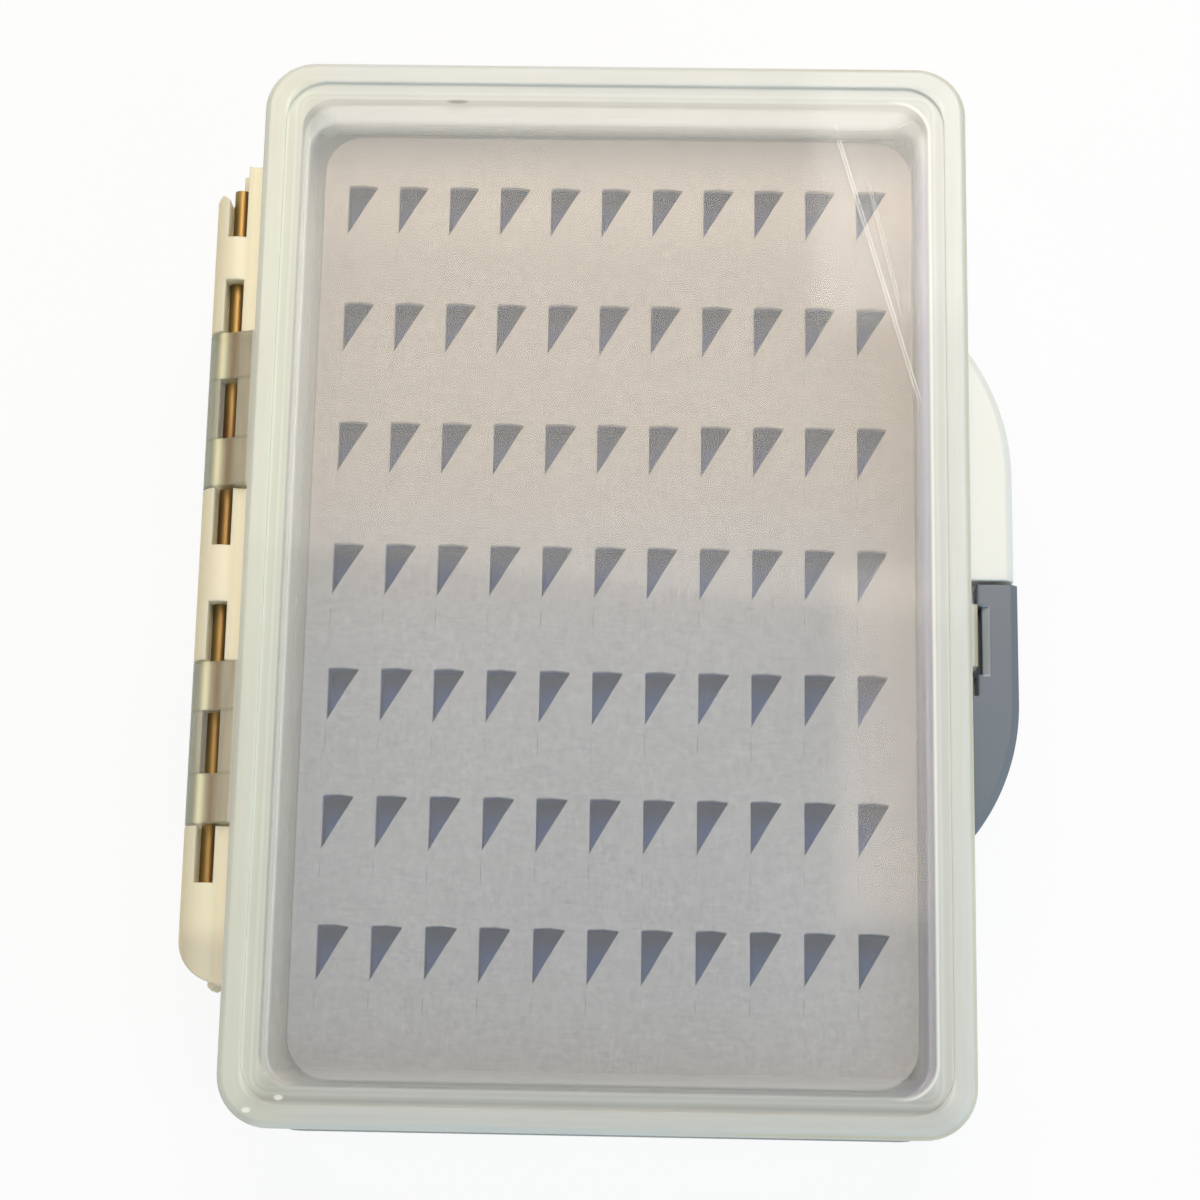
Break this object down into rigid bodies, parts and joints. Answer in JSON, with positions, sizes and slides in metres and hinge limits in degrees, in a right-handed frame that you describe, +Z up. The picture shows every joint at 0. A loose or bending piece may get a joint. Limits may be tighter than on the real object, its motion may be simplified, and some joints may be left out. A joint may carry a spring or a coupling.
{
  "type": "fly box",
  "caption": "Pocket fly box: a white frame with a slit foam pad on each side, each closed by its own clear hinged lid, seal ring and snap latch.",
  "frame": {"origin": "middle of the footprint at the resting face, with the box lying on its back lid", "axes": "+Z up through the front lid, +X towards the latches, -X towards the hinges, +Y along the hinge"},
  "size_m": [0.1138, 0.15, 0.036],
  "materials": {
    "white_plastic": "satin moulded white plastic, slightly warm",
    "clear_plastic": "clear polycarbonate with a milky rim and fine wear",
    "seal_rubber": "soft white silicone",
    "foam": "closed-cell foam with a fine linen grain",
    "adhesive": "grey-blue adhesive film",
    "pin_metal": "drawn brass",
    "latch_grey": "satin moulded grey plastic"
  },
  "bodies": {
    "case": {"body_frame": "white_plastic", "front_foam_pad": "foam", "front_pad_adhesive": "adhesive", "front_hinge_pin": "pin_metal", "front_latch_pin": "pin_metal", "back_foam_pad": "foam", "back_pad_adhesive": "adhesive", "back_hinge_pin": "pin_metal", "back_latch_pin": "pin_metal"},
    "front_cover": {"front_lid": "clear_plastic", "front_lid_gasket": "seal_rubber"},
    "back_cover": {"back_lid": "clear_plastic", "back_lid_gasket": "seal_rubber"},
    "front_catch": {"front_latch": "latch_grey"},
    "back_catch": {"back_latch": "latch_grey"}
  },
  "joints": [
    {"name": "front_lid_hinge", "type": "hinge", "parent": "case", "child": "front_cover", "pos_m": [-0.0535, 0, 0.0302], "axis": [0, -1, 0], "range_deg": [0, 180]},
    {"name": "back_lid_hinge", "type": "hinge", "parent": "case", "child": "back_cover", "pos_m": [-0.0535, 0, 0.0058], "axis": [0, 1, 0], "range_deg": [0, 180]},
    {"name": "front_latch_pivot", "type": "hinge", "parent": "case", "child": "front_catch", "pos_m": [0.0519, -0.0075, 0.0226], "axis": [0, 1, 0], "range_deg": [0, 70]},
    {"name": "back_latch_pivot", "type": "hinge", "parent": "case", "child": "back_catch", "pos_m": [0.0519, 0.0075, 0.0134], "axis": [0, -1, 0], "range_deg": [0, 70]}
  ]
}
